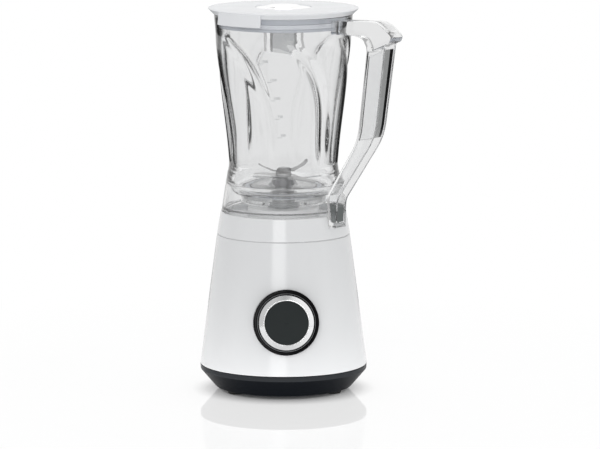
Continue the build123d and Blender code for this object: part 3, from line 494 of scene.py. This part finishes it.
def barSection(near, far, half, corner):  # rounded rectangle, with points on its outer face and inner edges
    turns = [(near, -half, (0, 1)), (near, half, (1, 0)), (far, half, (0, -1)), (far, -half, (-1, 0))]
    strip, face = np.array([barPoints["edge"]]), np.linspace(1, -1, barPoints["face"])[None, 1:-1]
    columns = []
    for k, (u, v, ahead) in enumerate(turns):
        columns.append(bentCorner(u, v, corner, turns[k - 1][2], ahead))
        if k in (1, 3):
            edge = near[:, None] + corner + (strip if k == 1 else strip[:, ::-1])
            columns.append((edge, v[:, None] + 0 * strip))
        if k == 2:
            columns.append((u[:, None] + 0 * face, (v[:, None] - corner) * face))
    return (np.hstack(column) for column in zip(*columns))


def channelBar(shape):  # stations of the channel between two heights, two depths there, and the section
    level = outerPoint[:, 1]
    chosen = (level > shape["low"]) & (level < shape["high"]) & (opened > 0.99)  # fully open only
    near = np.full(chosen.sum(), handleShape["web"] + shape["gap"])
    far = deep[chosen] - shape["sunk"]
    section = barSection(near, far, half[chosen] - handleShape["side"] - shape["gap"], shape["corner"])
    return chosen, near, far, *section


# Grip: a bar that fills the channel of the handle, pale at its sides, with painted shade: grey on its outer
# face, black on the far half of that face and on the inner edges
gripShape = {
    "low": 272.5, "high": 366.0, "gap": 0.35, "sunk": 0.25, "corner": 1.3,
    "face": (1.1, 0.8), "far": 0.12, "inner": (2.2, 0.6),  # where the painted shades begin and over what they come in
    "tones": [  # span and colour of the painted shade on the outer face, on its far half and on the inner edges
        ((0.2, 0.9), (0.3, 0.305, 0.305)), ((1.3, 1.8), (0.004, 0.004, 0.0045)),
        ((-0.3, -0.8), (0.004, 0.004, 0.0045)),
    ],
}
inGrip, near, far, out, side = channelBar(gripShape)
bar = onHandle(out, side, inGrip)
grip = newPiece("grip_cover", bar, sweptFaces(bar), materials["grip_plastic"])
(faceFrom, faceOver), (innerFrom, innerOver) = gripShape["face"], gripShape["inner"]
onFace = smoothStep((out - far[:, None] + faceFrom) / faceOver)
farHalf = smoothStep(side / half[inGrip, None] / gripShape["far"])
innerEdge = smoothStep((near[:, None] + innerFrom - out) / innerOver)
tone = grip.data.attributes.new("tone", "FLOAT", "POINT")  # where shade is painted: 1 outer face, 2 its far half, -1 inner edges
tone.data.foreach_set("value", (onFace * (1 + farHalf) - innerEdge).ravel())
tree = materials["grip_plastic"].node_tree
mark = addNode(tree, "Attribute")
mark.attribute_name = "tone"
# painted shade laid over the pale grip
for span, color in gripShape["tones"]:
    overlay(tree, mark.outputs["Fac"], span, color)
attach(grip, "jug")
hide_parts("handle_cover")

# Core of the foot: a short dark block in the channel where the handle stands in its notch
coreShape = {"low": 180.6, "high": 199.0, "gap": 0.4, "sunk": 0.8, "corner": 0.9}
inFoot, near, far, out, side = channelBar(coreShape)
block = onHandle(out, side, inFoot)
core = newPiece("foot_core", block, sweptFaces(block), materials["smoke_plastic"])
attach(core, "jug")
print("stage: grip and foot core")


def carriedRound(outline, columns):  # points of an outline carried round the axis
    angle = np.linspace(0, 2 * np.pi, columns, endpoint=False)[None]
    radius, height = outline[:, 0:1], outline[:, 1:2]
    flat = [radius * np.cos(angle), radius * np.sin(angle)]
    return np.stack([*flat, np.broadcast_to(height, (len(outline), columns))], -1).reshape(-1, 3) * mm


# Measuring cup: turned from an outline that runs from axis to axis, with a fan of faces at each pole
cupShape = {
    "columns": 192, "gap": 3.0,
    "outline": [  # radius, height, setback: top, cap, outside, lower edge, inside
        (0, 400.0, 0), (17.4, 400.0, 1.0), (18.8, 398.1, 0.8), (28.3, 398.1, 0.6), (28.3, 395.9, 0.4),
        (20.9, 395.9, 0.5), (20.5, 353.0, 0.7), (18.5, 353.0, 0.7), (18.9, 395.6, 1.2), (16.0, 397.8, 1.2),
        (0, 397.8, 0),
    ],
}
cupColumns = cupShape["columns"]
cupOutline = bentPath(cupShape["outline"], cupShape["gap"], closed=False)
cupSkin = carriedRound(cupOutline[1:-1], cupColumns)
cupPoles = np.stack([np.zeros(2), np.zeros(2), cupOutline[[0, -1], 1]], 1) * mm
firstRow = np.arange(cupColumns)
lastRow = firstRow + len(cupSkin) - cupColumns
topFan = np.stack([np.roll(firstRow, -1), firstRow, np.full(cupColumns, len(cupSkin))], 1)
lowFan = np.stack([lastRow, np.roll(lastRow, -1), np.full(cupColumns, len(cupSkin) + 1)], 1)
cupFaces = gridFaces(len(cupOutline) - 2, cupColumns, False).tolist() + topFan.tolist() + lowFan.tolist()
cup = newPiece("clear_cup", np.vstack([cupSkin, cupPoles]), cupFaces, materials["cup_plastic"])
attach(cup, "cup")
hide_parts("measuring_cup")
print("stage: cup")

# Seam: a pale ring in the gap between shell and collar
seamShape = {
    "columns": 192, "gap": 1.0, "bendSteps": 4,  # the outline gives radius, height and setback
    "outline": [(66.8, 163.05, 0.15), (68.3, 163.05, 0.15), (68.3, 163.45, 0.15), (66.8, 163.45, 0.15)],
}
seamOutline = bentPath(seamShape["outline"], seamShape["gap"], seamShape["bendSteps"])
seamSkin = carriedRound(seamOutline, seamShape["columns"])
seamFaces = outward(seamSkin, gridFaces(len(seamOutline), seamShape["columns"], True)).tolist()
seam = newPiece("seam_ring", seamSkin, seamFaces, materials["white_plastic"])
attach(seam, "base")
print("stage: seam")

# Printed scale: short strokes and plain numbers on the front of the jug
scaleMarks = {
    "size": 3.6, "thick": 0.05, "proud": 0.12, "backShare": 0.2, "strokeDrop": 1.2, "strokeHigh": 0.35,
    "strokeFrom": -3.0, "strokeTo": 2.0, "strokePoints": 7,
    "rows": [  # number, height, degrees round the axis
        ("1500", 348.0, -111.0), ("1250", 329.0, -104.0), ("1000", 310.0, -101.0), ("750", 291.0, -97.5),
        ("500", 271.5, -95.0),
    ],
}


def onWall(flat, height, degrees):  # wraps flat points (x along the wall, y up) on the outside of the jug
    level = height + flat[:, 1]
    spot = degrees + np.degrees(flat[:, 0] / wallRadius(level))
    turned = spot - jugShape["ribFirst"] + swirl(level)
    radius, angle = ribbed(wallRadius(level), level, turned, jugShape["ribOut"], jugShape["ribOutWidth"])
    radius = radius + scaleMarks["proud"] * (scaleMarks["backShare"] + (flat[:, 2] > 0))
    return np.stack([radius * np.cos(angle), radius * np.sin(angle), level], 1) * mm


def printedRow(label, height, degrees):  # number with a stroke under its left end
    marks, thick = scaleMarks, scaleMarks["thick"]
    font = bpy.data.curves.new("number", "FONT")
    font.body, font.size, font.extrude = label, marks["size"], thick
    holder = bpy.data.objects.new("number", font)
    mesh = bpy.data.meshes.new_from_object(holder)
    digits = np.empty(len(mesh.vertices) * 3)
    mesh.vertices.foreach_get("co", digits)
    digits = digits.reshape(-1, 3)
    faces = [list(face.vertices) for face in mesh.polygons]
    bpy.data.objects.remove(holder)
    bpy.data.curves.remove(font)
    bpy.data.meshes.remove(mesh)
    high, low = -marks["strokeDrop"], -marks["strokeDrop"] - marks["strokeHigh"]
    section = np.array([(high, -thick), (high, thick), (low, thick), (low, -thick)])
    along = np.linspace(marks["strokeFrom"], marks["strokeTo"], marks["strokePoints"])
    stroke = np.concatenate([np.repeat(along[:, None, None], 4, 1), np.tile(section, (len(along), 1, 1))], -1)
    first, last = len(digits), len(digits) + 4 * len(along) - 4
    caps = [list(range(first, first + 4)), list(range(last + 3, last - 1, -1))]
    points = onWall(np.vstack([digits, stroke.reshape(-1, 3)]), height, degrees)
    return points, faces + (gridFaces(len(along), 4, False) + first).tolist() + caps


printPoints, printFaces = np.zeros((0, 3)), []
for row in scaleMarks["rows"]:
    points, faces = printedRow(*row)
    printFaces += [[k + len(printPoints) for k in face] for face in faces]
    printPoints = np.vstack([printPoints, points])
scalePrint = newPiece("scale_print", printPoints, printFaces, materials["print_grey"])
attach(scalePrint, "jug")
print("stage: scale print")

# Stage: round glossy floor that keeps the shadow under the base and mirrors the object
floorShape = {
    "radius": 0.62, "columns": 96, "color": 0.99, "mirror": 0.2, "mirrorRough": 0.025, "lift": 0.86,
    "contact": 0.022, "fade": (0.3, 0.6),
}
floorTurn = np.linspace(0, 2 * np.pi, floorShape["columns"], endpoint=False)
floorEdge = floorShape["radius"] * np.stack([np.cos(floorTurn), np.sin(floorTurn), 0 * floorTurn], 1)
floorMesh = bpy.data.meshes.new("floor")
floorMesh.from_pydata(floorEdge.tolist(), [], [list(range(floorShape["columns"]))])
floor = bpy.data.objects.new("floor", floorMesh)
scene.collection.objects.link(floor)
floorMaterial, tree, shader = newMaterial("floor")
tree.nodes.remove(shader)
matte = addNode(tree, "BsdfDiffuse", Color=(*[floorShape["color"]] * 3, 1))
shine = addNode(tree, "BsdfGlossy", Color=(1, 1, 1, 1), Roughness=floorShape["mirrorRough"])
paper = addNode(tree, "Emission")  # strength 1 is the white of the background
place = addNode(tree, "TexCoord").outputs["Object"]
away = addNode(tree, "VectorMath", "LENGTH", [place]).outputs["Value"]
# Away from the object the floor turns plain white, and its mirror image fades
lifted = overSpan(tree, away, floorShape["fade"], (floorShape["lift"], 1))
mirror = overSpan(tree, away, floorShape["fade"], (floorShape["mirror"], 0))
byCamera = addNode(tree, "LightPath").outputs["Is Camera Ray"]
contact = addNode(tree, "AmbientOcclusion", Distance=floorShape["contact"]).outputs["AO"]
white = addNode(tree, "Math", "MULTIPLY", [byCamera, lifted]).outputs[0]
white = addNode(tree, "Math", "MULTIPLY", [white, contact]).outputs[0]
table = addNode(tree, "MixShader", feeds=[white, matte.outputs[0], paper.outputs[0]])
mix = addNode(tree, "MixShader", feeds=[mirror, table.outputs[0], shine.outputs[0]])
tree.links.new(mix.outputs[0], tree.nodes["Material Output"].inputs["Surface"])
floorMesh.materials.append(floorMaterial)

# World: white to the camera. Gloss sees a grey front, and nearly black below the level line, where clear
# plastic mirrors when it is seen on edge. Clear plastic sees a pale wall between two grey screens, and plain
# pale grey in views steeper than the screens reach
studio = {  # brightness by degrees to the right of straight behind
    "gloss": [(-180, 0.4), (-140, 0.45), (-110, 0.58), (-80, 0.62), (-50, 1.0), (70, 1.0), (110, 0.9),
              (140, 0.5), (180, 0.4)],
    "edge": [(-180, 0.04), (180, 0.04)],
    "clear": [(-180, 0.8), (-110, 0.85), (-68, 0.85), (-62, 0.45), (-30, 0.45), (-25, 0.8), (11, 0.8),
              (16, 0.45), (60, 0.45), (66, 0.85), (110, 0.85), (180, 0.8)],
    "plain": [(-180, 0.78), (180, 0.78)],
    "low": (-0.12, -0.15), "steep": (-0.2, -0.24),  # upward part of the direction
    "fill": 0.72,  # light on matt surfaces
}
world = bpy.data.worlds.new("studio")
scene.world = world
world.use_nodes = True
tree = world.node_tree
parts = addNode(tree, "SeparateXYZ", feeds=[addNode(tree, "TexCoord").outputs["Generated"]]).outputs
bearing = addNode(tree, "Math", "ARCTAN2", [parts["X"], parts["Y"]]).outputs[0]
towards = addNode(tree, "Math", "MULTIPLY_ADD", [bearing, 0.5 / math.pi, 0.5])  # a half straight behind
path = addNode(tree, "LightPath").outputs
glossy, through = path["Is Glossy Ray"], path["Is Transmission Ray"]
direct = addNode(tree, "Math", "LESS_THAN", [path["Diffuse Depth"], 0.5])  # 1 until a matt surface is met
low = addNode(tree, "Math", "MULTIPLY", [overSpan(tree, parts["Z"], studio["low"]), glossy]).outputs[0]
steep = addNode(tree, "Math", "MULTIPLY", [overSpan(tree, parts["Z"], studio["steep"]), through]).outputs[0]
seen = overSpan(tree, path["Is Camera Ray"], (0, 1), (studio["fill"], 1))
for name, rays in (("gloss", glossy), ("edge", low), ("clear", through), ("plain", steep)):
    ramp = addNode(tree, "ValToRGB", Fac=towards.outputs[0])
    stops = ramp.color_ramp.elements
    for degrees, bright in studio[name]:
        position = 0.5 + degrees / 360
        stop = stops[0] if position == 0 else (stops[-1] if position == 1 else stops.new(position))
        stop.position = position
        stop.color = (bright, bright, bright, 1)
    share = addNode(tree, "Math", "MULTIPLY", [rays, direct.outputs[0]])
    seen = mixColors(tree, share.outputs[0], seen, ramp.outputs["Color"])
feed(tree, tree.nodes["Background"].inputs["Color"], seen)

# Lamps: a tall softbox left of the camera that makes the streak down the base, one above, and two that show
# in no mirror image, a strip on the right and the glow of the white table close round the base
lamps = {
    "key": {"place": (-0.72, -4.3, 1.85), "aim": 1.85, "wide": 1.7, "tall": 3.2, "power": 60, "seen": True},
    "top": {"place": (0, 0.7, 2.6), "aim": 0, "wide": 1.5, "tall": 1.5, "power": 11, "seen": True},
    "right": {"place": (1.9, -0.75, 0.6), "aim": 0.2, "wide": 0.3, "tall": 1.3, "power": 3, "seen": False},
    "table": {"place": (0, 0, 0.0015), "aim": 1, "wide": 0.34, "power": 0.4, "seen": False},
}
for name, lamp in lamps.items():
    data = bpy.data.lights.new(name, "AREA")
    data.shape = "RECTANGLE" if "tall" in lamp else "DISK"
    data.size, data.energy = lamp["wide"], lamp["power"]
    if "tall" in lamp:
        data.size_y = lamp["tall"]
    item = bpy.data.objects.new(name, data)
    scene.collection.objects.link(item)
    item.location = lamp["place"]
    item.rotation_mode = "QUATERNION"
    item.rotation_quaternion = (Vector((0, 0, lamp["aim"])) - item.location).to_track_quat("-Z", "Y")
    item.visible_camera = False
    item.visible_glossy = item.visible_transmission = lamp["seen"]
spared = bpy.data.collections.new("spared")  # the mirror image of the key lamp would veil the jug
spared.objects.link(clearJug)
spared.collection_objects[0].light_linking.link_state = "EXCLUDE"
scene.objects["key"].light_linking.receiver_collection = spared
print("stage: stage and light")
